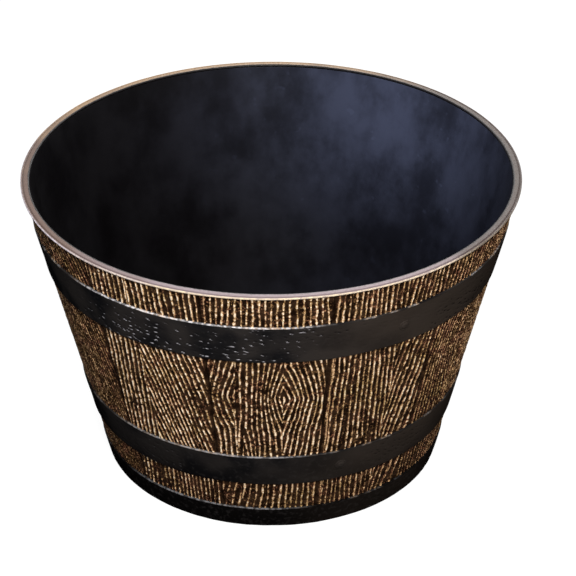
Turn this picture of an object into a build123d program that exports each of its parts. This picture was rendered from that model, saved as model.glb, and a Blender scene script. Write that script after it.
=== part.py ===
"""A half-barrel flower pot: a smooth inner pot, dressed with staves, hoops and a rim.

Millimetres, +Z up. The origin is at the middle of the base, on the ground. The front is towards -Y.
Thicknesses of the tapered walls are measured level, along the radius.
"""
from build123d import *

import os
from math import cos, hypot, radians, sin

# Overall sizes
height = 244
rim_diameter = 390
base_diameter = 269  # over the wood, at the ground

# Rim
rim_height = 1.8
rim_overhang = 2.2  # past the wood
rim_outer_round = 0.8
rim_inner_round = 1.2

# Walls
stave_thickness = 2.6
pot_wall = 2.2
layer_gap = 0.1  # between curved layers

# Staves
stave_count = 12
front_seam_angle = 13.8  # first seam to the right of the front
seam_bevel = 1.3

# Hoops: how far their faces stand out, and their edges, measured down from the rim
hoop_thickness = 1.2
upper_hoop_drop = 30
upper_hoop_width = 35
lower_hoop_drop = 166
lower_hoop_width = 30
base_hoop_width = 20
hoop_edge_round = 0.5
base_edge_round = 1.0

# Rivets: angles are measured from the front, to the right
upper_rivet_angle = 32.2
lower_rivet_angle = 20.2
rivet_head_diameter = 9.5
rivet_head_height = 1.3
rivet_shank_diameter = 4
rivet_grip = 2.6  # depth of the shank under the head
rivet_gap = 0.1

# Floor and drain
floor_thickness = 3
floor_lift = 6  # underside of the floor above the ground
floor_round = 8
drain_diameter = 20
drain_lip_diameter = 34  # thickened ring round the hole
drain_lip_height = 1.5
plug_clearance = 0.3
plug_flange_diameter = 28
plug_flange_thickness = 2
plug_stem_length = 6
plug_knob_diameter = 9
plug_knob_height = 7
plug_round = 0.6

# Worked out from the sizes above
rim_radius = rim_diameter / 2
wall_top = height - rim_height
wood_top_radius = rim_radius - rim_overhang
wood_base_radius = base_diameter / 2
wall_slope = (wood_top_radius - wood_base_radius) / wall_top
pot_inset = stave_thickness + layer_gap
bore_inset = pot_inset + pot_wall
floor_top = floor_lift + floor_thickness
drain_lip_top = floor_top + drain_lip_height
stave_angle = 360 / stave_count


def wall_radius(z, inset):
    """Radius at height z of the tapered face that lies inset inside the wood's face."""
    return wood_base_radius + wall_slope * z - inset


def upright_plane(angle):
    """The upright half plane through the axis, at an angle to the right of the front."""
    turn = radians(angle - 90)
    return Plane(origin=(0, 0, 0), x_dir=(cos(turn), sin(turn), 0), z_dir=(sin(turn), -cos(turn), 0))


def band_outline(low, high, outer_inset, inner_inset):
    """Corners of a tapered band's section, in an upright plane."""
    return [
        (wall_radius(low, inner_inset), low),
        (wall_radius(low, outer_inset), low),
        (wall_radius(high, outer_inset), high),
        (wall_radius(high, inner_inset), high),
    ]


def wall_normal(plane):
    """Direction square to the tapered wall, outwards, in an upright plane."""
    return (plane.x_dir - Vector(0, 0, wall_slope)).normalized()


def rivet_seat(angle, z):
    """Plane on the hoop's face where a rivet sits: its normal points out of the wall."""
    upright = upright_plane(angle)
    radius = wall_radius(z, -hoop_thickness)
    origin = upright.x_dir * radius + Vector(0, 0, z)
    return Plane(origin=origin, x_dir=upright.z_dir, z_dir=wall_normal(upright))


def finish(piece, name):
    """Label a finished piece and write its file."""
    piece.part.label = name
    export_step(piece.part, f"parts/{name}.step")


def circle_edge(piece, radius, z):
    """The round edge of a piece that is nearest to a radius and a height."""
    rounds = piece.edges().filter_by(GeomType.CIRCLE)
    return rounds.sort_by(lambda edge: abs(edge.radius - radius) + abs(edge.arc_center.Z - z))[0]


def make_stave(start_angle, rivets):
    """One stave: a tapered slice of the outer wall, bevelled along both seams."""
    with BuildPart() as stave:
        with BuildSketch(upright_plane(start_angle)):
            with BuildLine():
                Polyline(*band_outline(0, wall_top, 0, stave_thickness), close=True)
            make_face()
        revolve(axis=Axis.Z, revolution_arc=stave_angle)
        long_edges = stave.edges().filter_by(GeomType.LINE).filter_by(lambda edge: edge.length > wall_top)
        outer_edges = long_edges.sort_by(lambda edge: hypot((edge @ 0.5).X, (edge @ 0.5).Y))[-2:]
        chamfer(outer_edges, seam_bevel)
        for seat in rivets:
            with Locations(seat):
                Hole(rivet_shank_diameter / 2 + rivet_gap, depth=rivet_grip + rivet_gap)
    return stave


def make_hoop(low, high, bottom_round, rivets):
    """One hoop: a tapered band on the wood, with rounded outer edges and its rivet hole."""
    with BuildPart() as hoop:
        with BuildSketch(Plane.XZ) as section:
            with BuildLine():
                Polyline(*band_outline(low, high, -hoop_thickness, -layer_gap), close=True)
            make_face()
            fillet(section.vertices().group_by(Axis.Y)[0].sort_by(Axis.X)[-1], bottom_round)
            fillet(section.vertices().group_by(Axis.Y)[-1].sort_by(Axis.X)[-1], hoop_edge_round)
        revolve(axis=Axis.Z)
        for seat in rivets:
            with Locations(seat):
                Hole(rivet_shank_diameter / 2 + rivet_gap, depth=rivet_grip)
    return hoop


def make_rivet(seat):
    """One rivet: a low domed head on the hoop, and a shank through the hoop into the stave."""
    head_radius = rivet_head_diameter / 2
    shank_radius = rivet_shank_diameter / 2
    section_plane = Plane(origin=seat.origin, x_dir=seat.x_dir, z_dir=-seat.y_dir)
    head_top = rivet_gap + rivet_head_height
    with BuildPart() as rivet:
        with BuildSketch(section_plane):
            with BuildLine():
                TangentArc((0, head_top), (head_radius, rivet_gap), tangent=(1, 0))
                Polyline(
                    (head_radius, rivet_gap),
                    (shank_radius, rivet_gap),
                    (shank_radius, -rivet_grip),
                    (0, -rivet_grip),
                    (0, head_top),
                )
            make_face()
        revolve(axis=Axis(seat.origin, seat.z_dir))
    return rivet


def make_inner_pot():
    """The smooth pot inside: tapered wall, lifted floor on a foot ring, and the drain hole."""
    with BuildPart() as pot:
        with BuildSketch(Plane.XZ):
            with BuildLine():
                Polyline(
                    (0, floor_lift),
                    (wall_radius(floor_lift, bore_inset), floor_lift),
                    (wall_radius(0, bore_inset), 0),
                    (wall_radius(0, pot_inset), 0),
                    (wall_radius(wall_top, pot_inset), wall_top),
                    (wall_radius(wall_top, bore_inset), wall_top),
                    (wall_radius(floor_top, bore_inset), floor_top),
                    (0, floor_top),
                    close=True,
                )
            make_face()
        revolve(axis=Axis.Z)
        fillet(circle_edge(pot, wall_radius(floor_top, bore_inset), floor_top), floor_round)
        with BuildSketch(Plane.XY.offset(floor_top)):
            Circle(drain_lip_diameter / 2)
        extrude(amount=drain_lip_height)
        with Locations((0, 0, drain_lip_top)):
            Hole(drain_diameter / 2)
    return pot


def make_rim():
    """The rim: a flat ring on the ends of the staves and the pot, rounded at its edges."""
    inner_radius = wall_radius(wall_top, bore_inset)
    with BuildPart() as rim:
        with BuildSketch(Plane.XZ) as section:
            with BuildLine():
                Polyline(
                    (inner_radius, wall_top),
                    (rim_radius, wall_top),
                    (rim_radius, height),
                    (inner_radius, height),
                    close=True,
                )
            make_face()
            corners = section.vertices()
            fillet(corners.group_by(Axis.X)[-1], rim_outer_round)
            fillet(section.vertices().group_by(Axis.X)[0].sort_by(Axis.Y)[-1], rim_inner_round)
        revolve(axis=Axis.Z)
    return rim


def make_plug():
    """The drain plug: a flange on the drain's lip, a stem in the hole, and a knob to pull."""
    seat = drain_lip_top + plug_clearance
    flange_top = seat + plug_flange_thickness
    stem_radius = drain_diameter / 2 - plug_clearance
    with BuildPart() as plug:
        with BuildSketch(Plane.XY.offset(seat - plug_stem_length)):
            Circle(stem_radius)
        extrude(amount=plug_stem_length)
        chamfer(plug.edges().group_by(Axis.Z)[0], plug_round)
        with BuildSketch(Plane.XY.offset(seat)):
            Circle(plug_flange_diameter / 2)
        extrude(amount=plug_flange_thickness)
        with BuildSketch(Plane.XY.offset(flange_top)):
            Circle(plug_knob_diameter / 2)
        extrude(amount=plug_knob_height)
        fillet(plug.edges().group_by(Axis.Z)[-1], plug_round)
        fillet(circle_edge(plug, plug_flange_diameter / 2, flange_top), plug_round)
    return plug


os.makedirs("parts", exist_ok=True)

upper_hoop_high = height - upper_hoop_drop
upper_hoop_low = upper_hoop_high - upper_hoop_width
lower_hoop_high = height - lower_hoop_drop
lower_hoop_low = lower_hoop_high - lower_hoop_width
upper_seat = rivet_seat(upper_rivet_angle, (upper_hoop_low + upper_hoop_high) / 2)
lower_seat = rivet_seat(lower_rivet_angle, (lower_hoop_low + lower_hoop_high) / 2)

finish(make_inner_pot(), "inner_pot")
for number in range(stave_count):
    start_angle = front_seam_angle + (number - 1) * stave_angle
    held = [
        seat
        for seat, angle in ((upper_seat, upper_rivet_angle), (lower_seat, lower_rivet_angle))
        if 0 < (angle - start_angle) % 360 < stave_angle
    ]
    finish(make_stave(start_angle, held), f"stave_{number + 1:02d}")
finish(make_rim(), "rim_ring")
finish(make_hoop(upper_hoop_low, upper_hoop_high, hoop_edge_round, [upper_seat]), "upper_hoop")
finish(make_hoop(lower_hoop_low, lower_hoop_high, hoop_edge_round, [lower_seat]), "lower_hoop")
finish(make_hoop(0, base_hoop_width, base_edge_round, []), "base_hoop")
finish(make_rivet(upper_seat), "upper_hoop_rivet")
finish(make_rivet(lower_seat), "lower_hoop_rivet")
finish(make_plug(), "drain_plug")
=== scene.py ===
"""Looks of a half-barrel flower pot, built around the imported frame.

Metres, +Z up, origin at the middle of the base, front towards -Y. Angles are in degrees, measured
from the front to the right. Depths on the wall are measured level, outwards from the wood's face.
"""
from collections import namedtuple
from math import atan, atan2, cos, degrees, hypot, radians, sin, tan, tau

import bpy
import numpy as np
from mathutils import Matrix, Vector


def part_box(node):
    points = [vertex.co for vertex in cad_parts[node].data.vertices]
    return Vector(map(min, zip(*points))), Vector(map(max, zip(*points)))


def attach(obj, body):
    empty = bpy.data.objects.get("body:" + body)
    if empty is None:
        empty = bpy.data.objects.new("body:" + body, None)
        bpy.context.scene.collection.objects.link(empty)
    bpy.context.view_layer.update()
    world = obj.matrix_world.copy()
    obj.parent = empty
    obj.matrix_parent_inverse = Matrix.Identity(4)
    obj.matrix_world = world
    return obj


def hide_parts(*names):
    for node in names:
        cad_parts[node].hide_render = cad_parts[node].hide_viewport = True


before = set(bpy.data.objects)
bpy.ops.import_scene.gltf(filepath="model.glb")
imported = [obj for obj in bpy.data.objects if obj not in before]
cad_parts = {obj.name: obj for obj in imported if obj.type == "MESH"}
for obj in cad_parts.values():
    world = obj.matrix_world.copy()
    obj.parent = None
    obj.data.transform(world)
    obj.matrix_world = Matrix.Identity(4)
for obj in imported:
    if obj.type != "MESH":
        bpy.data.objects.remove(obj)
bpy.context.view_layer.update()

MM = 0.001

# Places read from the frame
rim_low, rim_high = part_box("rim_ring")
RIM_RADIUS = rim_high.x
HEIGHT = rim_high.z
WALL_TOP = rim_low.z


def node_radius(node, low, high, widest=True):
    """The largest or smallest radius among a CAD node's vertices between two heights."""
    found = [hypot(v.co.x, v.co.y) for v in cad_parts[node].data.vertices if low <= v.co.z <= high]
    return max(found) if widest else min(found)


NEAR = 0.01 * MM
WOOD_TOP = node_radius("stave_01", WALL_TOP - NEAR, WALL_TOP + NEAR)
WOOD_BASE = node_radius("stave_01", -NEAR, NEAR)
WALL_SLOPE = (WOOD_TOP - WOOD_BASE) / WALL_TOP
POT_OUTSIDE = WOOD_TOP - node_radius("inner_pot", WALL_TOP - NEAR, WALL_TOP + NEAR)
POT_INSIDE = WOOD_TOP - node_radius("inner_pot", WALL_TOP - NEAR, WALL_TOP + NEAR, widest=False)
first_corners = [v.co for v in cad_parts["stave_01"].data.vertices if v.co.z < NEAR]
FIRST_STAVE_START = min(degrees(atan2(c.x, -c.y)) for c in first_corners)
HOOPS = {name: (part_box(name)[0].z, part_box(name)[1].z) for name in ("upper_hoop", "lower_hoop", "base_hoop")}

# The staves: seams and surface
STAVE_ANGLE = 30
SEAM_REACH = 1.6 * MM
SEAM_DEPTH = 1.05 * MM
RIDGE_TOP = 0.20 * MM
VALLEY_DEPTH = 0.80 * MM
TOP_LAND = 1.3 * MM  # the ridges run together this far below the rim
HOOP_SEAT_DEPTH = 1.0 * MM  # the wood is cut back this far behind each hoop
STAVE_BACK = POT_OUTSIDE - 0.05 * MM
GRAIN_STEP = 0.46 * MM  # between the vertices of a stave's face
PAINT_IN_GROUND_SHADE = 0.78  # share of the paint the ridges keep at the ground: the thinner paint low down is painted shade

# Hoops
HOOP_PROUD = 1.2 * MM
HOOP_BACK = 0.95 * MM
HOOP_TOP_ROUND = 0.95 * MM
HOOP_SWELL = 0.35 * MM
DENT_DEPTH = 0.50 * MM
LIP_HEIGHT = 0.12 * MM
SHADED_BELOW = 0.11  # painted shade darkens the hoops from this height down to the ground
# Each hoop's round along its lower edge, the step between its vertices, and how strongly it is hammered
HOOP_LOOKS = {
    "upper_hoop": (0.5 * MM, 0.68 * MM, 1.0),
    "lower_hoop": (0.5 * MM, 0.62 * MM, 0.7),
    "base_hoop": (1.0 * MM, 0.62 * MM, 0.6),
}

# Angles from the front where the finish and the painted light are strongest
MOST_HIGHLIT = -20  # painted highlight on the hoops' upper edges
MOST_GLINTING = -19  # painted glint on the lips of their dents
MOST_WARM_LIT = 62  # painted warm light that browns the hoops
MOST_SMUDGED_AND_LIT = 140  # smudges and a painted sheen of light on the inner wall
MOST_MAUVE, MOST_BROWN, MOST_TAN = 15, 98, 190  # tones of the rim; the tan is partly a painted warm reflection, the brown partly painted shade


def wall_radius(z, out=0.0):
    """Radius of the tapered face that lies out metres outside the wood's face, at height z."""
    return WOOD_BASE + WALL_SLOPE * z + out


def smooth(low, high, x):
    """0 below low, 1 above high, and an even ease between."""
    t = np.clip((x - low) / (high - low), 0, 1)
    return t * t * (3 - 2 * t)


def scatter(i, j, seed):
    """A repeatable number from 0 to 1 for each pair of whole numbers."""
    n = (i.astype(np.int64) * 374761393 + j.astype(np.int64) * 668265263 + seed * 1274126177) & 0xFFFFFFFF
    n = ((n ^ (n >> 13)) * 1103515245) & 0xFFFFFFFF
    n = ((n ^ (n >> 16)) * 2246822519) & 0xFFFFFFFF
    return ((n ^ (n >> 15)) & 0xFFFF) / 0xFFFF


def noise(x, y, seed, wrap=None):
    """Smooth noise from 0 to 1 with one bump per unit. With wrap, it repeats after that many units of x."""
    x, y = np.broadcast_arrays(x, y)
    i, j = np.floor(x).astype(np.int64), np.floor(y).astype(np.int64)
    u, v = x - i, y - j
    u, v = u * u * (3 - 2 * u), v * v * (3 - 2 * v)
    right = i + 1
    if wrap:
        i, right = i % wrap, right % wrap
    low = scatter(i, j, seed) * (1 - u) + scatter(right, j, seed) * u
    high = scatter(i, j + 1, seed) * (1 - u) + scatter(right, j + 1, seed) * u
    return low * (1 - v) + high * v


def swing(x, y, seed):
    """Noise from -1 to 1."""
    return 2 * noise(x, y, seed) - 1


# The grain of a stave. Angles are from the stave's middle, and bulges are in ridges.
# pitch is the distance between ridges, anchor an angle where one runs upright, edge how bright the ridge along
# the left seam is, and brushed how much paint the ridges hold, lowered on the far-side staves as painted shade.
# An eye is a nest of diamonds about a point: how far the lines bulge to its left and right, how far it
# reaches up, down, left and right.
# A fan is a stretch of leaning lines on one side of an upright line: angle, side, lean in degrees,
# the height where the lines are undisturbed, the highest point, the lowest point.
# A rough patch is where the ridges break up into grains: angle, height, half width, half height, strength.
Eye = namedtuple("Eye", "angle height left right up down reach_left reach_right")
Fan = namedtuple("Fan", "angle side lean level high low")
Rough = namedtuple("Rough", "angle height wide tall strength")
Grain = namedtuple("Grain", "pitch anchor eyes fans rough edge brushed")

FRONT = Grain(
    pitch=4.55 * MM,
    anchor=4.0,
    eyes=[
        Eye(4.0, 0.140, 1.5, 1.5, 0.033, 0.036, 0.014, 0.024),
        Eye(4.0, 0.140, 1.3, 1.8, 0.045, 0.062, 0.018, 0.060),
        Eye(-8.4, 0.141, 2.1, 0.0, 0.040, 0.036, 0.050, 0.01),
        Eye(-7.0, 0.078, 0.5, 1.5, 0.032, 0.030, 0.016, 0.009),
    ],
    fans=[Fan(-16.0, 1, -7.0, 0.060, 0.060, 0.0), Fan(-8.4, -1, 6.0, 0.120, 0.120, 0.05)],
    rough=[
        Rough(-2.5, 0.140, 4.0, 0.030, 1.0), Rough(-13.5, 0.135, 2.0, 0.030, 0.8),
        Rough(4.0, 0.140, 1.3, 0.008, 0.9), Rough(-5.0, 0.092, 4.0, 0.012, 0.8),
        Rough(2.0, 0.232, 4.0, 0.008, 0.8), Rough(-8.0, 0.036, 5.0, 0.02, 0.8),
        Rough(2.0, 0.085, 3.0, 0.010, 0.5),
    ],
    edge=0.25,
    brushed=0.99,
)
RIGHT = Grain(
    pitch=4.25 * MM,
    anchor=-14.0,
    eyes=[],
    fans=[
        Fan(3.5, 1, -12.5, 0.180, 0.180, 0.0),
        Fan(3.5, 1, -8.0, 0.244, 0.244, 0.18),
        Fan(-9.0, -1, -1.5, 0.18, 0.18, 0.05),
    ],
    rough=[
        Rough(-6.0, 0.080, 4.0, 0.02, 0.5), Rough(-1.0, 0.090, 4.0, 0.02, 0.6),
        Rough(8.0, 0.16, 5.0, 0.02, 0.4),
    ],
    edge=1.0,
    brushed=0.86,
)
LEFT = Grain(
    pitch=4.6 * MM,
    anchor=0.0,
    eyes=[],
    fans=[
        Fan(-3.0, 1, 16.0, 0.185, 0.200, 0.060),
        Fan(-3.0, -1, -2.5, 0.165, 0.244, 0.060),
        Fan(-16.0, 1, -7.0, 0.060, 0.060, 0.0),
    ],
    rough=[
        Rough(12.5, 0.135, 2.5, 0.03, 1.0), Rough(-9.0, 0.115, 5.0, 0.02, 0.6),
        Rough(-9.0, 0.035, 6.0, 0.02, 1.0), Rough(4.0, 0.232, 4.0, 0.015, 0.6),
        Rough(5.0, 0.090, 5.0, 0.015, 0.4),
    ],
    edge=0.3,
    brushed=0.98,
)
FAR_LEFT = Grain(
    pitch=4.2 * MM,
    anchor=2.0,
    eyes=[Eye(-8.0, 0.120, 2.0, 2.0, 0.035, 0.035, 0.02, 0.02)],
    fans=[Fan(0.0, 1, 17.0, 0.165, 0.244, 0.0), Fan(0.0, -1, -10.0, 0.165, 0.244, 0.0)],
    rough=[Rough(-5.0, 0.225, 7.0, 0.02, 0.4), Rough(5.0, 0.10, 5.0, 0.03, 0.3)],
    edge=0.3,
    brushed=0.56,
)
FAR_RIGHT = Grain(
    pitch=4.3 * MM,
    anchor=-1.0,
    eyes=[
        Eye(-1.0, 0.141, 1.4, 1.2, 0.034, 0.038, 0.020, 0.016),
        Eye(-1.0, 0.141, 1.2, 1.0, 0.050, 0.060, 0.050, 0.030),
        Eye(9.5, 0.090, 1.2, 1.2, 0.024, 0.026, 0.012, 0.012),
    ],
    fans=[Fan(-16.0, 1, 4.0, 0.060, 0.060, 0.0)],
    rough=[Rough(4.0, 0.12, 5.0, 0.03, 0.3), Rough(-9.0, 0.10, 4.0, 0.02, 0.3)],
    edge=0.4,
    brushed=0.66,
)
CALM = Grain(
    pitch=4.4 * MM,
    anchor=-3.0,
    eyes=[Eye(-3.0, 0.112, 1.6, 0.9, 0.050, 0.044, 0.024, 0.014)],
    fans=[Fan(5.0, 1, -8.0, 0.20, 0.244, 0.0)],
    rough=[Rough(7.0, 0.15, 4.0, 0.03, 0.7), Rough(-8.0, 0.10, 4.0, 0.02, 0.6)],
    edge=0.5,
    brushed=0.92,
)
# From the stave at the front, going round to the right. True turns a grain left for right.
STAVES = [
    (FRONT, False), (RIGHT, False), (FAR_RIGHT, False), (CALM, False), (LEFT, True), (FRONT, True),
    (CALM, True), (RIGHT, True), (FAR_LEFT, True), (FAR_RIGHT, True), (FAR_LEFT, False), (LEFT, False),
]


# How the ridges wander: how far, over what width and over what height
DRIFTS = [
    (1.0 * MM, 0.020, 0.055), (0.55 * MM, 0.008, 0.018),
    (0.40 * MM, 0.004, 0.006), (0.25 * MM, 0.002, 0.0024),
]


def grain_lines(turn, z, grain, seed):
    """The grain at points of a stave: each whole number is the middle of a ridge."""
    radius = wall_radius(z)
    across = np.radians(turn - grain.anchor) * radius
    drift = 0
    for number, (sway, wide, tall) in enumerate(DRIFTS):
        drift = drift + sway * swing(across / wide, z / tall, seed + number)
    for eye in grain.eyes:
        half_steps = round(radians(eye.angle - grain.anchor) * wall_radius(eye.height) / (grain.pitch / 2))
        off = across - half_steps * grain.pitch / 2
        above = z - eye.height
        rise = np.hypot(above, 1.5 * MM) / np.where(above > 0, eye.up, eye.down)
        bulge = grain.pitch * np.clip(1 - rise, 0, 1)
        bulge *= np.exp(-((off / np.where(off > 0, eye.reach_right, eye.reach_left)) ** 2))
        drift += np.where(off > 0, eye.right, -eye.left) * bulge
    for fan in grain.fans:
        off = across - radians(fan.angle - grain.anchor) * radius
        inside = off * fan.side > 0
        lean = tan(radians(fan.lean)) * (0.6 + 0.4 * np.exp(-((off / 0.03) ** 2)))
        drift += np.where(inside, lean * (fan.level - np.clip(z, fan.low, fan.high)), 0)
    return (across - drift) / grain.pitch


def grain_relief(turn, z, grain, seed):
    """Height of the ridges, 0 in a valley to 1 on a full ridge, and how much paint they hold."""
    lines = grain_lines(turn, z, grain, seed)
    line = np.rint(lines)
    wave = np.cos(tau * (lines - line))
    start = scatter(line, line * 0, seed + 5) * 40
    bead = noise(z / (1.8 * MM) + start, line, seed + 6)
    dash = noise(z / (5.0 * MM) + start, line, seed + 9)
    run = noise(z / (17 * MM) + start, line, seed + 7)
    patch = noise(turn / 4.0, z / 0.022, seed + 8)
    rough = 0.15 + 0.35 * smooth(0.50, 0.90, patch)
    for spot in grain.rough:
        beside, above = (turn - spot.angle) / spot.wide, (z - spot.height) / spot.tall
        rough += spot.strength * np.exp(-(beside**2) - above**2)
    rough = np.clip(rough, 0, 1)
    gaps = 0.65 * (1 - smooth(0.25, 0.55, bead)) + 0.35 * (1 - smooth(0.18, 0.42, dash))
    full = np.clip(1 - rough * gaps - 0.20 * (1 - smooth(0.1, 0.5, run)), 0, 1)
    foot = 0.35 * (1 - full) - 0.50 * (run - 0.5) - 0.45 * (bead - 0.5)
    crest = smooth(foot, 1.05, wave)
    lump = swing(turn / 0.45, z / (1.2 * MM), seed + 10)
    ridge = crest * (0.35 + 0.65 * full) * (1 + 0.2 * lump)
    grains = smooth(0.60, 0.85, noise(turn / 0.5, z / (1.6 * MM), seed + 11)) * (1 - crest)
    ridge = np.maximum(ridge, 0.30 * grains)
    paint = np.maximum(crest * (0.35 + 0.65 * full) * (0.60 + 0.70 * bead + 0.12 * lump), 0.36 * grains)
    return ridge, paint


def stave_rows():
    """Heights of a stave's rows of vertices: close where it shows, wide behind the hoops."""
    hidden = sorted(HOOPS.values())
    edge = 1.2 * MM
    rows = [0.0]
    for (low, high), (next_low, _) in zip(hidden, hidden[1:] + [(WALL_TOP + edge, 0)]):
        start, end = high - edge, min(next_low + edge, WALL_TOP)
        rows += list(np.linspace(start, end, int((end - start) / GRAIN_STEP) + 1))
    return np.array(rows)


def stave_surface(middle, grain, mirrored, seed):
    """Angles, heights, depths and paint of a stave's outer face, as grids of rows by columns."""
    half = STAVE_ANGLE / 2
    columns = int(radians(STAVE_ANGLE) * wall_radius(0.75 * HEIGHT) / GRAIN_STEP)
    turn, z = np.meshgrid(np.linspace(-half, half, columns), stave_rows())
    ridge, paint = grain_relief(-turn if mirrored else turn, z, grain, seed)
    to_seam = np.radians(half - np.abs(turn)) * wall_radius(z)
    wander = 0.35 * MM * swing(z / 0.012, turn * 0 + np.sign(turn), seed + 20)
    clear = smooth(0.8 * MM, SEAM_REACH + 0.5 * MM, to_seam + wander)
    from_left = np.radians(half + turn) * wall_radius(z) + wander
    edge = grain.edge * np.exp(-(((from_left - 2.9 * MM) / (0.75 * MM)) ** 2))
    edge *= 0.55 + 0.45 * noise(z / 0.009, z * 0, seed + 21)
    below_top = WALL_TOP - z + 0.3 * MM * swing(turn / 1.2, turn * 0, seed + 24)
    land = smooth(TOP_LAND, TOP_LAND * 0.5, below_top)
    ridge = np.maximum(ridge * clear, np.maximum(edge, 0.9 * land))
    paint = np.maximum(paint * clear, np.maximum(edge, land))
    # Less paint on the far-side staves and towards the ground is painted shade.
    paint = paint * grain.brushed * (PAINT_IN_GROUND_SHADE + (1 - PAINT_IN_GROUND_SHADE) * smooth(0.02, 0.08, z))
    groove = SEAM_DEPTH * (1 - smooth(0.2 * MM, SEAM_REACH, to_seam + wander))
    crown = RIDGE_TOP + 0.12 * MM * swing(turn / 3, z / 0.02, seed + 22)
    out = -VALLEY_DEPTH + (crown + VALLEY_DEPTH) * ridge - groove * (1 - 0.7 * edge)
    out += 0.06 * MM * swing(turn / 0.3, z / 0.0010, seed + 23)
    for low, high in HOOPS.values():
        behind = smooth(low + 0.3 * MM, low + 0.9 * MM, z) * smooth(high - 0.3 * MM, high - 0.9 * MM, z)
        out = out * (1 - behind) - HOOP_SEAT_DEPTH * behind
    return middle + turn, z, out, paint


def round_places(angle, radius, z):
    """Points at an angle from the front, a radius and a height."""
    angle = np.radians(angle)
    return np.stack([radius * np.sin(angle), -radius * np.cos(angle), z + 0 * angle], -1)


def new_piece(name, places, quads, others, corner_maps, values, flat_from):
    """A mesh object from vertex places, faces, a map place per face corner and named numbers per vertex."""
    mesh = bpy.data.meshes.new(name)
    faces = quads.tolist() + others
    mesh.from_pydata(places.reshape(-1, 3).tolist(), [], faces)
    layer = mesh.uv_layers.new(name="OFBake")
    layer.uv.foreach_set("vector", np.asarray(corner_maps, np.float32).ravel())
    for label, numbers in values.items():
        held = mesh.attributes.new(label, "FLOAT", "POINT")
        held.data.foreach_set("value", np.asarray(numbers, np.float32).ravel())
    even = np.arange(len(faces)) < flat_from
    mesh.polygons.foreach_set("use_smooth", even)
    mesh.validate()
    piece = bpy.data.objects.new(name, mesh)
    bpy.context.scene.collection.objects.link(piece)
    return piece


def dress(piece, node, body, material):
    """The piece stands for a CAD node: it rides on the node's body, hides the node and takes the finish it is
    given.
    """
    piece.data.materials.append(material)
    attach(piece, body)
    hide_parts(node)
    return piece


def make_stave(number, material):
    """One stave: its carved face as a fine grid, with a plain back, sides and ends."""
    grain, mirrored = STAVES[number]
    middle = FIRST_STAVE_START + STAVE_ANGLE * (number + 0.5)
    angle, z, out, paint = stave_surface(middle, grain, mirrored, seed=100 * number + 7)
    rows, columns = z.shape
    face = round_places(angle, wall_radius(z, out), z)
    back_columns = 13
    back_angle = np.linspace(angle[0, 0], angle[0, -1], back_columns)
    back = np.concatenate([
        round_places(back_angle, np.full(back_columns, wall_radius(0.0, -STAVE_BACK)), 0.0),
        round_places(back_angle, np.full(back_columns, wall_radius(WALL_TOP, -STAVE_BACK)), WALL_TOP),
    ])
    index = np.arange(rows * columns).reshape(rows, columns)
    first = rows * columns
    low_back = first + np.arange(back_columns)
    high_back = low_back + back_columns
    quads = np.stack([index[:-1, :-1], index[:-1, 1:], index[1:, 1:], index[1:, :-1]], -1).reshape(-1, 4)
    back_quads = np.stack([low_back[1:], low_back[:-1], high_back[:-1], high_back[1:]], -1)
    others = [
        index[0, ::-1].tolist() + low_back.tolist(),
        index[-1].tolist() + high_back[::-1].tolist(),
        index[:, 0].tolist() + [int(high_back[0]), int(low_back[0])],
        index[::-1, -1].tolist() + [int(low_back[-1]), int(high_back[-1])],
    ]
    # The face fills most of the map, and the back, sides and ends share a strip beside it.
    across, up = np.meshgrid(np.linspace(0.004, 0.90, columns), np.linspace(0.004, 0.996, rows))
    maps = np.stack([across, up], -1).reshape(-1, 2)[quads].reshape(-1, 2)
    strip = np.concatenate([
        np.stack([np.linspace(0.91, 0.95, back_columns), np.full(back_columns, 0.004)], -1),
        np.stack([np.linspace(0.91, 0.95, back_columns), np.full(back_columns, 0.996)], -1),
    ])
    back_maps = strip[back_quads - first].reshape(-1, 2)

    def flat_map(face_indices, low, high):
        """Map places of a flat face: its places seen square on, fitted into a small box."""
        points = np.concatenate([face.reshape(-1, 3), back])[face_indices]
        spread = points.max(0) - points.min(0)
        first_axis, second_axis = np.sort(np.argsort(spread)[1:]) if spread.min() < NEAR else (0, 2)
        flat = points[:, [first_axis, second_axis]]
        flat = (flat - flat.min(0)) / (flat.max(0) - flat.min(0))
        return np.array(low) + flat * (np.array(high) - np.array(low))

    other_maps = [
        flat_map(others[0], (0.955, 0.004), (0.996, 0.10)),
        flat_map(others[1], (0.955, 0.11), (0.996, 0.20)),
        flat_map(others[2], (0.955, 0.22), (0.974, 0.99)),
        flat_map(others[3], (0.977, 0.22), (0.996, 0.99)),
    ]
    piece = new_piece(
        f"stave_{number + 1:02d}_carved",
        np.concatenate([face.reshape(-1, 3), back]),
        np.concatenate([quads, back_quads]),
        others,
        np.concatenate([maps, back_maps, *other_maps]),
        {"paint": np.concatenate([paint.ravel(), np.zeros(2 * back_columns)])},
        flat_from=len(quads) + len(back_quads),
    )
    return dress(piece, f"stave_{number + 1:02d}", "root", material)


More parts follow.
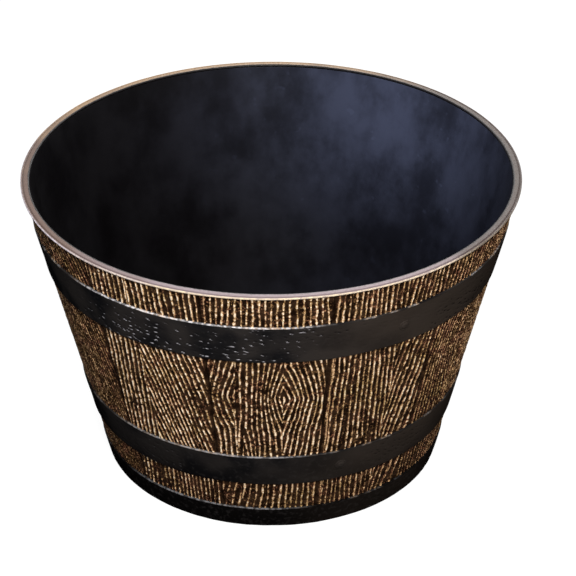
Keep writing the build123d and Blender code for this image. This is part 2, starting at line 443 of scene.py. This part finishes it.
def turned(name, radius, z, values):
    """A closed ring: radius and z are grids of profile points by steps round the circle."""
    points, steps = radius.shape
    angle = np.linspace(0, 360, steps, endpoint=False)[None, :] + 0 * radius
    places = round_places(angle, radius, z)
    index = np.arange(points * steps).reshape(points, steps)
    ahead, right = np.roll(index, -1, 0), np.roll(index, -1, 1)
    beyond = np.roll(ahead, -1, 1)
    quads = np.stack([index, right, beyond, ahead], -1).reshape(-1, 4)
    length = np.hypot(np.diff(radius[:, 0], append=radius[:1, 0]), np.diff(z[:, 0], append=z[:1, 0]))
    along = np.concatenate([[0], np.cumsum(length)]) / length.sum()
    u = np.linspace(0, 1, steps + 1)
    low_left = np.stack(np.broadcast_arrays(u[None, :-1], along[:-1, None]), -1)
    low_right = np.stack(np.broadcast_arrays(u[None, 1:], along[:-1, None]), -1)
    high_right = np.stack(np.broadcast_arrays(u[None, 1:], along[1:, None]), -1)
    high_left = np.stack(np.broadcast_arrays(u[None, :-1], along[1:, None]), -1)
    maps = np.stack([low_left, low_right, high_right, high_left], 2).reshape(-1, 2)
    return new_piece(name, places, quads, [], maps, values, flat_from=len(quads))


def bend(centre, radius, start, end, count=6):
    """Points of an arc in a profile: angles in degrees, 0 outwards and 90 up."""
    turn = np.radians(np.linspace(start, end, count))
    return [(centre[0] + radius * cos(t), centre[1] + radius * sin(t)) for t in turn]


def hammer_marks(length, z, around, cell, lean, seed):
    """Short slanting dents scattered round a ring: depth 0 to 1, and the raised lip under each."""
    count = round(around / cell)
    column, row = np.floor(length / around * count), np.floor(z / cell)
    depth, lip = np.zeros_like(length + z), np.zeros_like(length + z)
    for i, j in ((i, j) for i in (-1, 0, 1) for j in (-1, 0, 1)):
        at = ((column + i) % count, row + j)
        jitter = [scatter(*at, seed + k) for k in range(5)]
        across = length - (column + i + 0.15 + 0.7 * jitter[0]) * around / count
        above = z - (row + j + 0.15 + 0.7 * jitter[1]) * cell
        turn = np.radians(lean + 36 * (jitter[2] - 0.5))
        half_length, half_width = cell * (0.30 + 0.30 * jitter[3]), cell * (0.11 + 0.06 * jitter[4])
        along = (across * np.cos(turn) + above * np.sin(turn)) / half_length
        beside = (above * np.cos(turn) - across * np.sin(turn)) / half_width
        size = smooth(0.25, 0.75, jitter[4])
        depth = np.maximum(depth, size * np.exp(-along**2 - beside**2))
        lip = np.maximum(lip, size * np.exp(-along**2 - (beside + 1.3) ** 2 * 4))
    return depth, lip


def warm_lit_share(angle):
    """How much painted warm light browns a hoop at an angle, 0 to 1."""
    return smooth(0.45, 1.0, np.cos(np.radians(angle - MOST_WARM_LIT)))


def make_hoop(name, bottom_round, step, hammered, material):
    """One hoop: a hammered band round the wood, rounded at its outer edges."""
    low, high = HOOPS[name]
    middle = (low + high) / 2
    steps = int(tau * wall_radius(high) / step)
    face_rows = int((high - low) / step)
    profile = [(-HOOP_BACK, high), (-HOOP_BACK, low)]
    profile += bend((HOOP_PROUD - bottom_round, low + bottom_round), bottom_round, -90, -8)
    face_low, face_high = low + bottom_round * 1.3, high - HOOP_TOP_ROUND * 1.25
    profile += [(HOOP_PROUD, z) for z in np.linspace(face_low, face_high, face_rows)]
    profile += bend((HOOP_PROUD - HOOP_TOP_ROUND, high - HOOP_TOP_ROUND), HOOP_TOP_ROUND, 5, 90, 9)
    out, z = (np.array(c)[:, None] for c in zip(*profile))
    angle = np.linspace(0, 360, steps, endpoint=False)[None, :]
    around = tau * wall_radius(middle)
    length = around * angle / 360
    seed = 900 + int(high / MM)

    def ring_noise(wide, tall, number):
        """Noise that closes on itself round the hoop."""
        count = round(around / wide)
        return noise(length / around * count, z / tall, seed + number, wrap=count)

    face = smooth(HOOP_PROUD * 0.2, HOOP_PROUD * 0.9, out) * smooth(0, 2 * MM, high - z)
    swell = ring_noise(22 * MM, 12 * MM, 1) - 0.5
    area = 0.35 + 0.65 * smooth(0.35, 0.60, ring_noise(50 * MM, 60 * MM, 4))
    # The upper edges carry a painted highlight, strongest towards the front left.
    highlit_side = smooth(0.82, 0.96, np.cos(np.radians(angle - MOST_HIGHLIT)))
    glinting = smooth(0.75, 1.0, np.cos(np.radians(angle - MOST_GLINTING)))
    # Painted warm light: the hoops are browner towards the right.
    warm_lit = warm_lit_share(angle) * (0.6 + 0.4 * ring_noise(30 * MM, 20 * MM, 8))
    dents, lips = hammer_marks(length, z, around, 4.3 * MM, -18, seed + 10)
    pits, pit_lips = hammer_marks(length, z, around, 3.2 * MM, 0, seed + 20)
    dents = face * area * hammered * np.maximum(dents, 0.6 * pits)
    # The lips of the dents carry a painted glint, brightest towards the front left.
    lips = face * area * hammered * np.maximum(lips, 0.2 * pit_lips) * (0.22 + 0.78 * glinting) * hammered**2
    relief = HOOP_SWELL * swell * face - DENT_DEPTH * dents + LIP_HEIGHT * lips
    wobble = 0.30 * MM * (ring_noise(30 * MM, 1.0, 5) - 0.5) + 0.20 * MM * (ring_noise(7 * MM, 1.0, 6) - 0.5)
    inner = (z - middle) / (high - low) * 2
    radius = wall_radius(z, out) + relief
    height = z + wobble * inner * smooth(0, HOOP_PROUD * 0.3, out)
    if low < NEAR:
        height = np.where(z < NEAR, z, np.maximum(height, 0))
    dust = smooth(0.40, 0.60, ring_noise(40 * MM, 1.0, 7)) * (1 - 0.6 * highlit_side)
    chips = 0.25 * smooth(0.60, 0.80, ring_noise(9 * MM, 1.0, 9))
    # Worn chips, and the painted highlight of the upper edges.
    wear_and_highlight = np.maximum(highlit_side, chips) * hammered**3
    # Painted shade towards the ground.
    shaded = 1 - smooth(0.0, SHADED_BELOW, z) + 0 * angle
    edge = smooth(high - 1.0 * MM, high - 0.5 * MM, z) * smooth(-0.6 * MM, 0, out) * wear_and_highlight
    values = {"lip": lips, "edge": edge, "dust": dust * edge}
    values.update({"brown": warm_lit * face, "dent": dents, "shaded": shaded})
    piece = turned(f"{name}_hammered", radius, height, values)
    return dress(piece, name, "root", material)


def make_rim(material):
    """The rim: a thin flat ring whose paint stops just inside, with a bead along its outer edge."""
    inner = wall_radius(WALL_TOP, -POT_INSIDE)
    inner_round, bead, dip = 1.1 * MM, 0.80 * MM, 0.40 * MM
    bead_middle = (RIM_RADIUS - bead, WALL_TOP + bead + 0.05 * MM)
    groove = bead_middle[0] - bead - 0.25 * MM
    profile = [(inner, (WALL_TOP + HEIGHT) / 2), (inner, WALL_TOP)]
    profile += bend(bead_middle, bead, -90, 150, 15)
    profile += [(groove + 0.2 * MM, HEIGHT - dip - 0.15 * MM), (groove, HEIGHT - dip - 0.1 * MM)]
    profile += [(groove - 0.35 * MM, HEIGHT - 0.12 * MM)]
    profile += [(r, HEIGHT) for r in np.linspace(groove - 0.9 * MM, inner + inner_round, 7)[:-1]]
    profile += bend((inner + inner_round, HEIGHT - inner_round), inner_round, 90, 180, 9)
    radius, z = (np.array(c)[:, None] for c in zip(*profile))
    angle = np.linspace(0, 360, 1440, endpoint=False)[None, :]
    wave = noise(angle / 6, radius * 0, 41, wrap=60) - 0.5
    fine = noise(angle / 0.9, z / 0.002 + radius / 0.002, 42, wrap=400) - 0.5
    top = smooth(WALL_TOP, HEIGHT, z)
    grown_radius = radius + 0.08 * MM * wave
    grown_z = np.minimum(z + top * (0.10 * MM * wave + 0.05 * MM * fine), HEIGHT + 0.1 * MM)
    reach = inner + (1.0 + 0.4 * noise(angle / 1.5, radius * 0, 43, wrap=240)) * MM
    paint = smooth(reach, reach + 0.6 * MM, radius)
    gilt = smooth(bead_middle[0], bead_middle[0] + 0.5 * MM, radius) * (0.75 + 0.25 * fine * 2)
    # The groove between the flat top and the bead is painted darker.
    groove_dark = np.exp(-(((radius - groove) / (0.35 * MM)) ** 2)) * top + 0 * angle
    values = {"paint": paint, "gilt": gilt, "groove_dark": groove_dark}
    for tone, strongest in (("back", MOST_TAN), ("right", MOST_BROWN), ("front", MOST_MAUVE)):
        values[tone] = np.cos(np.radians(angle - strongest)) + 0.4 * wave + 0 * radius
    piece = turned("rim_ring_painted", grown_radius, grown_z, values)
    return dress(piece, "rim_ring", "root", material)


def make_inner_pot(material):
    """The smooth pot inside: wall, floor, foot ring and drain hole, as one turned shell."""
    floor_low, floor_top, lip_top = 6 * MM, 9 * MM, 10.5 * MM
    drain = node_radius("inner_pot", floor_low - 0.1 * MM, lip_top + 0.1 * MM, widest=False)
    lip, corner = 17 * MM, 8 * MM
    foot_in, foot_out = wall_radius(0, -POT_INSIDE), wall_radius(0, -POT_OUTSIDE)
    wall_angle = degrees(atan(WALL_SLOPE))
    corner_z = floor_top + corner
    corner_radius = wall_radius(corner_z, -POT_INSIDE) - corner / cos(radians(wall_angle)) + 0.1 * MM
    profile = [(drain, lip_top - 0.4 * MM), (drain, floor_low + 0.4 * MM), (drain + 0.4 * MM, floor_low)]
    profile += [(r, floor_low) for r in np.linspace(drain + 2 * MM, foot_in - 3 * MM, 16)]
    profile += bend((foot_in - 2 * MM, floor_low - 2 * MM), 2 * MM, 90, 0, 5)
    profile += [(foot_in, 0.3 * MM), (foot_in + 0.3 * MM, 0.0)]
    profile += [(foot_out - 0.3 * MM, 0.0), (foot_out, 0.3 * MM)]
    edge = WALL_TOP - 0.2 * MM
    profile += [(wall_radius(z, -POT_OUTSIDE), z) for z in (0.01, 0.1, 0.2, edge, WALL_TOP)]
    inner_heights = (WALL_TOP, *np.linspace(edge, corner_z + 4 * MM, 60))
    profile += [(wall_radius(z, -POT_INSIDE), z) for z in inner_heights]
    profile += bend((corner_radius, corner_z), corner, -wall_angle, -90, 9)
    profile += [(r, floor_top) for r in np.linspace(corner_radius - 3 * MM, lip + 1 * MM, 40)]
    profile += bend((lip - 0.6 * MM, lip_top - 0.6 * MM), 0.6 * MM, 0, 90, 5)
    profile += [(drain + 0.4 * MM, lip_top)]
    radius, z = (np.array(c)[:, None] for c in zip(*profile))
    angle = np.linspace(0, 360, 720, endpoint=False)[None, :]
    inside = smooth(floor_top, floor_top + 0.03, z) * (radius < wall_radius(z, -POT_INSIDE) + 0.1 * MM)
    # Bluish smudges with a painted sheen of light, strongest at the back right and fading towards the floor.
    smudge_and_sheen = inside * (0.5 + 0.5 * np.cos(np.radians(angle - MOST_SMUDGED_AND_LIT))) ** 7
    smudge_and_sheen = smudge_and_sheen * (0.12 + 0.88 * smooth(0.08, 0.23, z))
    wave = (noise(angle / 12, z / 0.06, 51, wrap=30) - 0.5) * inside * smooth(WALL_TOP, WALL_TOP - 0.02, z)
    piece = turned("inner_pot_smooth", radius + 0.25 * MM * wave, z + 0 * angle, {"smudge_and_sheen": smudge_and_sheen})
    return dress(piece, "inner_pot", "root", material)


def make_plug(material):
    """The drain plug: stem, flange and pull knob, turned about the middle."""
    low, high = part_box("drain_plug")
    flange = high.x
    stem_length, flange_thickness = 6 * MM, 2 * MM
    seat = low.z + stem_length
    flange_top = seat + flange_thickness
    stem, knob, hollow = 9.7 * MM, 4.5 * MM, 0.2 * MM
    profile = [(hollow, high.z - 0.1 * MM), (hollow, low.z)]
    profile += [(stem - 0.8 * MM, low.z), (stem - 0.2 * MM, low.z + 0.3 * MM)]
    profile += [(stem, low.z + 0.9 * MM), (stem, seat)]
    profile += bend((flange - 0.3 * MM, seat + 0.3 * MM), 0.3 * MM, -90, 0, 4)
    profile += bend((flange - 0.6 * MM, flange_top - 0.6 * MM), 0.6 * MM, 0, 90, 5)
    profile += [(r, flange_top) for r in np.linspace(flange - 1.5 * MM, knob + 2 * MM, 5)]
    profile += [(knob + 1.0 * MM, flange_top + 0.15 * MM), (knob + 0.3 * MM, flange_top + 0.7 * MM)]
    profile += [(knob - 0.2 * MM, z) for z in np.linspace(flange_top + 1.5 * MM, high.z - 2.5 * MM, 4)]
    profile += bend((knob - 1.0 * MM, high.z - 1.2 * MM), 1.0 * MM, -20, 90, 7)
    profile += [(knob * 0.5, high.z - 0.2 * MM)]
    radius, z = (np.array(c)[:, None] + np.zeros((1, 96)) for c in zip(*profile))
    piece = turned("drain_plug_rubber", radius, z, {})
    return dress(piece, "drain_plug", "plug", material)


def make_rivet(node, material):
    """A rivet head: a low dome inside a pressed ring, square to the wall where the CAD rivet is."""
    low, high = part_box(node)
    middle = (low + high) / 2
    angle = np.degrees(np.arctan2(middle.x, -middle.y))
    head = 4.75 * MM
    profile = [(0.2 * MM, -1.0 * MM), (head * 0.9, -1.0 * MM), (head, -0.3 * MM)]
    profile += bend((head - 0.5 * MM, 0.05 * MM), 0.5 * MM, -10, 80, 5)
    profile += [(head * 0.78, 0.30 * MM), (head * 0.70, 0.34 * MM), (head * 0.64, 0.55 * MM)]
    profile += [(head * 0.54, 0.85 * MM), (head * 0.40, 1.08 * MM)]
    profile += [(head * 0.22, 1.22 * MM), (0.2 * MM, 1.27 * MM)]
    radius, z = (np.array(c)[:, None] + np.zeros((1, 72)) for c in zip(*profile))
    steps = np.linspace(0, 360, 72, endpoint=False)[None, :]
    radius = radius * (1 + 0.03 * (noise(steps / 30, z * 0, 61, wrap=12) - 0.5))
    values = {value: 0 * radius for value in ("lip", "edge", "dust", "dent", "shaded")}
    # The rivet heads take the same painted warm light as the hoops.
    values["brown"] = 0 * radius + 0.7 * warm_lit_share(angle)
    piece = turned(f"{node}_head", radius, z, values)
    outwards = Vector((sin(radians(angle)), -cos(radians(angle)), -WALL_SLOPE)).normalized()
    seat = Vector(round_places(np.array(angle), wall_radius(middle.z, HOOP_PROUD), middle.z))
    turn = Vector((0, 0, 1)).rotation_difference(outwards).to_matrix().to_4x4()
    piece.data.transform(Matrix.Translation(seat) @ turn)
    return dress(piece, node, "root", material)


def new_material(name, **fixed):
    """A material with its Principled shader, whose fixed values are set on the shader's own sockets."""
    material = bpy.data.materials.new(name)
    material.use_nodes = True
    tree = material.node_tree
    shader = tree.nodes["Principled BSDF"]
    for socket, value in fixed.items():
        shader.inputs[socket.replace("_", " ")].default_value = value
    return material, tree, shader


def add(tree, kind, settings=None, **inputs):
    """Adds a node, sets its settings, and gives each input a value or a link. Input n0 is the first one."""
    made = tree.nodes.new(kind)
    for setting, value in (settings or {}).items():
        setattr(made, setting, value)
    for socket, value in inputs.items():
        numbered = socket[0] == "n" and socket[1:].isdigit()
        target = made.inputs[int(socket[1:]) if numbered else socket.replace("_", " ")]
        if isinstance(value, bpy.types.NodeSocket):
            tree.links.new(value, target)
        else:
            target.default_value = value
    return made


def speckle(tree, scale, detail=2.0, rough=0.5, stretch=(1, 1, 1)):
    """Noise from the object's own coordinates, 0 to 1. scale is bumps per metre."""
    place = add(tree, "ShaderNodeTexCoord").outputs["Object"]
    scaled = add(tree, "ShaderNodeMapping", Vector=place, Scale=stretch).outputs["Vector"]
    made = add(tree, "ShaderNodeTexNoise", Vector=scaled, Scale=scale, Detail=detail, Roughness=rough)
    return made.outputs["Fac"]


def between(tree, value, low, high, to_low=0.0, to_high=1.0):
    """Maps a value from one range to another, held at the ends, with an even ease."""
    made = add(tree, "ShaderNodeMapRange", {"interpolation_type": "SMOOTHSTEP"}, Value=value,
               From_Min=low, From_Max=high, To_Min=to_low, To_Max=to_high)
    return made.outputs["Result"]


def calc(tree, operation, first, second=0.0):
    """One sum on two values."""
    return add(tree, "ShaderNodeMath", {"operation": operation}, n0=first, n1=second).outputs[0]


def blend_colour(tree, share, first, second):
    """A mix of two colours."""
    made = tree.nodes.new("ShaderNodeMix")
    made.data_type = "RGBA"
    for place, value in ((0, share), (6, first), (7, second)):
        if isinstance(value, bpy.types.NodeSocket):
            tree.links.new(value, made.inputs[place])
        else:
            made.inputs[place].default_value = value
    return made.outputs[2]


def shade(red, green, blue):
    """A colour given as it looks on screen, 0 to 255, as the shader's own numbers."""
    linear = [c / 255 / 12.92 if c <= 10 else ((c / 255 + 0.055) / 1.055) ** 2.4 for c in (red, green, blue)]
    return (*linear, 1.0)


def read_value(tree, name):
    """A number kept on the mesh."""
    return add(tree, "ShaderNodeAttribute", {"attribute_name": name}).outputs["Fac"]


def wood_material():
    """Moulded wood grain: near-black brown, with brown, gold and pale paint over the ridges; the palest paint
    is partly a painted highlight, and the thinner paint at the far sides and low down is painted shade.
    """
    material, tree, shader = new_material("wood_look_resin", Metallic=0.0, Specular_IOR_Level=0.004)
    fine = speckle(tree, 900, 2.0, 0.6)
    brushed = calc(tree, "ADD", read_value(tree, "paint"), between(tree, fine, 0.30, 0.70, 0.22, -0.30))
    patch = between(tree, speckle(tree, 140), 0.4, 0.65)
    dark = blend_colour(tree, patch, shade(20, 11, 6), shade(46, 32, 22))
    patch = between(tree, speckle(tree, 75), 0.4, 0.65)
    brown = blend_colour(tree, patch, shade(98, 72, 46), shade(112, 74, 56))
    patch = between(tree, speckle(tree, 28), 0.45, 0.70)
    gold = blend_colour(tree, patch, shade(204, 166, 124), shade(182, 150, 100))
    # The palest paint on the crests is partly a painted highlight.
    bright = shade(250, 232, 208)
    tone = blend_colour(tree, between(tree, brushed, 0.12, 0.42), dark, brown)
    tone = blend_colour(tree, between(tree, brushed, 0.42, 0.72), tone, gold)
    tone = blend_colour(tree, between(tree, brushed, 0.80, 1.10), tone, bright)
    tree.links.new(tone, shader.inputs["Base Color"])
    tree.links.new(between(tree, brushed, 0.2, 0.8, 0.55, 0.38), shader.inputs["Roughness"])
    bump = add(tree, "ShaderNodeBump", Strength=0.5, Distance=0.0003, Height=fine)
    tree.links.new(bump.outputs["Normal"], shader.inputs["Normal"])
    return material


def hoop_material():
    """Hammered black band with painted light: shade low down and in the dents, warm light browning it at the
    right, and pale highlights on the upper edges, among worn chips, and on the lips of the dents.
    """
    material, tree, shader = new_material("hoop_black", Metallic=0.0, Specular_IOR_Level=0.0)
    fine = speckle(tree, 800, 2.0, 0.55)
    broad = speckle(tree, 25)
    grit = speckle(tree, 300)
    shaded = read_value(tree, "shaded")
    black = blend_colour(tree, between(tree, broad, 0.35, 0.60), shade(19, 19, 21), shade(42, 39, 38))
    # Painted shade low down.
    black = blend_colour(tree, shaded, black, shade(8, 7, 7))
    black = blend_colour(tree, between(tree, grit, 0.50, 0.70, 0.0, 0.45), black, shade(38, 36, 36))
    # Painted warm light, browner towards the right and weaker towards the ground.
    brown = calc(tree, "MULTIPLY", read_value(tree, "brown"), between(tree, shaded, 0, 1, 1, 0.3))
    black = blend_colour(tree, brown, black, shade(54, 47, 42))
    # Painted shade in the dents.
    dented = between(tree, read_value(tree, "dent"), 0.2, 0.8, 0.0, 0.8)
    black = blend_colour(tree, dented, black, shade(9, 8, 9))
    # Pale lips of the dents: a painted glint.
    lip = calc(tree, "MULTIPLY", read_value(tree, "lip"), between(tree, grit, 0.35, 0.60, 0.3, 1.0))
    black = blend_colour(tree, between(tree, lip, 0.12, 0.55), black, shade(150, 148, 154))
    # Pale upper edges: a painted highlight with worn chips.
    edge = calc(tree, "MULTIPLY", read_value(tree, "edge"), between(tree, grit, 0.38, 0.60, 0.2, 1.0))
    black = blend_colour(tree, edge, black, shade(206, 204, 208))
    strayed = calc(tree, "MULTIPLY", read_value(tree, "dust"), between(tree, speckle(tree, 420), 0.42, 0.60))
    tree.links.new(blend_colour(tree, strayed, black, shade(206, 170, 130)), shader.inputs["Base Color"])
    tree.links.new(between(tree, broad, 0.3, 0.7, 0.24, 0.34), shader.inputs["Roughness"])
    bump = add(tree, "ShaderNodeBump", Strength=0.5, Distance=0.0002, Height=fine)
    tree.links.new(bump.outputs["Normal"], shader.inputs["Normal"])
    return material


def rim_material():
    """Mauve, tan and brown paint over black, short of the inner edge, with pale gilding on the bead. The tan at
    the back is partly a painted warm reflection, the dark brown at the right partly painted shade, and the
    lavender gilding away from the front a painted highlight.
    """
    material, tree, shader = new_material("bronze_rim", Metallic=0.0, Specular_IOR_Level=0.12)
    fine = speckle(tree, 500, 3.0, 0.6)
    fronting = between(tree, read_value(tree, "front"), 0.2, 0.9)
    backing = between(tree, read_value(tree, "back"), 0.2, 0.9)
    right = read_value(tree, "right")
    tone = blend_colour(tree, fronting, shade(106, 87, 79), shade(140, 126, 131))
    # The tan at the back is partly a painted warm reflection.
    tone = blend_colour(tree, backing, tone, shade(164, 136, 106))
    # The dark brown at the right is partly painted shade.
    tone = blend_colour(tree, between(tree, right, 0.2, 1.0), tone, shade(70, 60, 56))
    # Darker in the groove.
    tone = blend_colour(tree, calc(tree, "MULTIPLY", read_value(tree, "groove_dark"), 0.8), tone, shade(58, 46, 44))
    tone = blend_colour(tree, between(tree, fine, 0.45, 0.75, 0.0, 0.35), tone, shade(100, 82, 76))
    patch = between(tree, speckle(tree, 300), 0.30, 0.50, 0.35, 1.0)
    bead = calc(tree, "MULTIPLY", read_value(tree, "gilt"), patch)
    # Painted shade dims the gilding at the right.
    bead = calc(tree, "MULTIPLY", bead, between(tree, right, 0.2, 1.0, 1.0, 0.25))
    # Away from the front the gilding is pale lavender, a painted highlight.
    gilding = blend_colour(tree, fronting, shade(222, 212, 222), shade(214, 196, 166))
    tone = blend_colour(tree, bead, tone, gilding)
    paint = calc(tree, "SUBTRACT", read_value(tree, "paint"), calc(tree, "MULTIPLY", fine, 0.3))
    cover = between(tree, paint, 0.1, 0.6)
    tree.links.new(blend_colour(tree, cover, shade(20, 17, 19), tone), shader.inputs["Base Color"])
    tree.links.new(between(tree, fine, 0.3, 0.7, 0.34, 0.46), shader.inputs["Roughness"])
    bump = add(tree, "ShaderNodeBump", Strength=0.3, Distance=0.0002, Height=fine)
    tree.links.new(bump.outputs["Normal"], shader.inputs["Normal"])
    return material


def pot_material():
    """Smooth black resin with bluish smudges, streaks and a few spots, most of them on one side, with a painted
    sheen of light over them there.
    """
    material, tree, shader = new_material("black_resin", Metallic=0.0, Specular_IOR_Level=0.09)
    smudge = speckle(tree, 14, 5.0, 0.62)
    streak = speckle(tree, 30, 4.0, 0.6, (1.1, 1.1, 0.7))
    spots = between(tree, speckle(tree, 110), 0.66, 0.76, 0.0, 0.35)
    mixed = calc(tree, "ADD", calc(tree, "MULTIPLY", smudge, 0.6), calc(tree, "MULTIPLY", streak, 0.4))
    smudge_and_sheen = read_value(tree, "smudge_and_sheen")
    cloud = calc(tree, "MULTIPLY", smudge_and_sheen, between(tree, mixed, 0.36, 0.62, 0.35, 1.1))
    cloud = calc(tree, "ADD", cloud, calc(tree, "MULTIPLY", smudge_and_sheen, spots))
    black = blend_colour(tree, between(tree, mixed, 0.36, 0.66), shade(7, 6, 7), shade(16, 15, 17))
    # The bluish cloud is partly smudges and partly a painted sheen of light.
    tree.links.new(blend_colour(tree, cloud, black, shade(59, 64, 84)), shader.inputs["Base Color"])
    tree.links.new(between(tree, mixed, 0.35, 0.65, 0.32, 0.44), shader.inputs["Roughness"])
    bump = add(tree, "ShaderNodeBump", Strength=0.12, Distance=0.0003, Height=speckle(tree, 350, 3.0, 0.6))
    tree.links.new(bump.outputs["Normal"], shader.inputs["Normal"])
    return material


def plug_material():
    """Matt black rubber."""
    material, tree, shader = new_material("plug_black", Metallic=0.0)
    dust = speckle(tree, 300, 3.0, 0.6)
    tone = blend_colour(tree, between(tree, dust, 0.45, 0.75), shade(22, 22, 22), shade(44, 43, 42))
    tree.links.new(tone, shader.inputs["Base Color"])
    tree.links.new(between(tree, dust, 0.3, 0.7, 0.60, 0.80), shader.inputs["Roughness"])
    return material


# The photograph's view: a long lens, above the front. Pixels are in its 576 pixel square.
PHOTO_SIZE = 576
FOCAL_PIXELS = 2400
SENSOR = 36
RIM_CENTRE_PIXEL = (271.3, 169.3)
CAMERA_RISE = radians(28.06)
CAMERA_ROLL = radians(-0.24)
CAMERA_FAR = 9.610 * RIM_RADIUS

# Surroundings: white in view, and much dimmer for the light that falls on the pot
FLOOR_SIDE = 4.0  # half its width
FLOOR_DROP = 0.3 * MM
FLOOR_GREY = (0.15, 0.15, 0.15, 1)
FLOOR_WHITE = 0.93
SURROUND_TINT = (0.86, 0.91, 1.0, 1)
SURROUND_LIGHT = 0.085
# Each lamp's place (angle from the front, rise and distance), size, power and colour
LAMPS = {
    "front": ((4, 40, 1.5), 0.4, 31, (1.0, 0.97, 0.93)),
    "window": ((-60, 42, 1.5), 0.25, 2.5, (0.70, 0.84, 1.0)),
    "warm": ((50, 12, 1.4), 0.9, 1.0, (1.0, 0.84, 0.66)),
    "back": ((170, 38, 1.6), 0.9, 14, (1.0, 0.98, 0.95)),
}


def make_camera():
    """The camera, aimed so that the rim's centre falls on its pixel."""
    away = Vector((0, -cos(CAMERA_RISE), sin(CAMERA_RISE)))
    ahead = -away
    right = Vector((1, 0, 0))
    up = right.cross(ahead)
    rolled_right = right * cos(CAMERA_ROLL) + up * sin(CAMERA_ROLL)
    rolled_up = up * cos(CAMERA_ROLL) - right * sin(CAMERA_ROLL)
    yaw, pitch = (atan((pixel - PHOTO_SIZE / 2) / FOCAL_PIXELS) for pixel in RIM_CENTRE_PIXEL)
    turned_ahead = ahead * cos(yaw) - rolled_right * sin(yaw)
    final_right = rolled_right * cos(yaw) + ahead * sin(yaw)
    final_ahead = turned_ahead * cos(pitch) + rolled_up * sin(pitch)
    final_up = rolled_up * cos(pitch) - turned_ahead * sin(pitch)
    data = bpy.data.cameras.new("view")
    data.sensor_width = SENSOR
    data.lens = FOCAL_PIXELS / PHOTO_SIZE * SENSOR
    camera = bpy.data.objects.new("view", data)
    camera.matrix_world = Matrix.Translation(Vector((0, 0, HEIGHT)) + away * CAMERA_FAR) @ Matrix(
        (final_right, final_up, -final_ahead)).transposed().to_4x4()
    bpy.context.scene.collection.objects.link(camera)
    bpy.context.scene.camera = camera


def in_view(tree):
    """1 for rays from the camera, directly or by reflection or through glass, and 0 for scattered light."""
    path = add(tree, "ShaderNodeLightPath")
    seen = calc(tree, "MAXIMUM", path.outputs["Is Camera Ray"], path.outputs["Is Transmission Ray"])
    return calc(tree, "MAXIMUM", seen, path.outputs["Is Glossy Ray"])


def white_in_view(tree, lit, strength):
    """A shader that keeps its light and shadow, with added white for the camera and for reflections."""
    white = calc(tree, "MULTIPLY", in_view(tree), strength)
    glow = add(tree, "ShaderNodeEmission", Color=(1, 1, 1, 1), Strength=white)
    return add(tree, "ShaderNodeAddShader", n0=lit, n1=glow.outputs[0]).outputs[0]


def make_floor():
    """A pale floor that keeps the pot's shadow."""
    mesh = bpy.data.meshes.new("floor")
    square = ((-1, -1), (1, -1), (1, 1), (-1, 1))
    corners = [(x * FLOOR_SIDE, y * FLOOR_SIDE, -FLOOR_DROP) for x, y in square]
    mesh.from_pydata(corners, [], [(0, 1, 2, 3)])
    floor = bpy.data.objects.new("floor", mesh)
    bpy.context.scene.collection.objects.link(floor)
    material = bpy.data.materials.new("floor")
    material.use_nodes = True
    tree = material.node_tree
    tree.nodes.clear()
    lit = add(tree, "ShaderNodeBsdfDiffuse", Color=FLOOR_GREY).outputs[0]
    out = tree.nodes.new("ShaderNodeOutputMaterial")
    tree.links.new(white_in_view(tree, lit, FLOOR_WHITE), out.inputs["Surface"])
    mesh.materials.append(material)


def make_light(name, place, aim, size, power, colour):
    """A soft square lamp at a place, facing a point."""
    data = bpy.data.lights.new(name, "AREA")
    data.size, data.energy, data.color = size, power, colour
    lamp = bpy.data.objects.new(name, data)
    lamp.location = place
    lamp.rotation_euler = (Vector(aim) - Vector(place)).to_track_quat("-Z", "Y").to_euler()
    bpy.context.scene.collection.objects.link(lamp)


def around_pot(angle, rise, far):
    """A place at an angle from the front, a rise in degrees and a distance, seen from the pot's middle."""
    level = far * cos(radians(rise))
    return (level * sin(radians(angle)), -level * cos(radians(angle)), HEIGHT / 2 + far * sin(radians(rise)))


def make_lights():
    """Soft lamps above the front and the back, a cool one at the left, a weak warm one low at the right."""
    for name, (place, size, power, colour) in LAMPS.items():
        make_light(name, around_pot(*place), (0, 0, HEIGHT / 2), size, power, colour)
    world = bpy.data.worlds.new("surround")
    bpy.context.scene.world = world
    world.use_nodes = True
    tree = world.node_tree
    seen = in_view(tree)
    background = tree.nodes["Background"]
    tree.links.new(blend_colour(tree, seen, SURROUND_TINT, (1, 1, 1, 1)), background.inputs["Color"])
    tree.links.new(between(tree, seen, 0.0, 1.0, SURROUND_LIGHT, 1.0), background.inputs["Strength"])


make_camera()
make_floor()
make_lights()
bpy.context.scene.view_settings.view_transform = "Standard"

wood = wood_material()
for number in range(len(STAVES)):
    make_stave(number, wood)
hoop_finish = hoop_material()
for name, looks in HOOP_LOOKS.items():
    make_hoop(name, *looks, hoop_finish)
for name in ("upper_hoop_rivet", "lower_hoop_rivet"):
    make_rivet(name, hoop_finish)
make_rim(rim_material())
make_inner_pot(pot_material())
make_plug(plug_material())
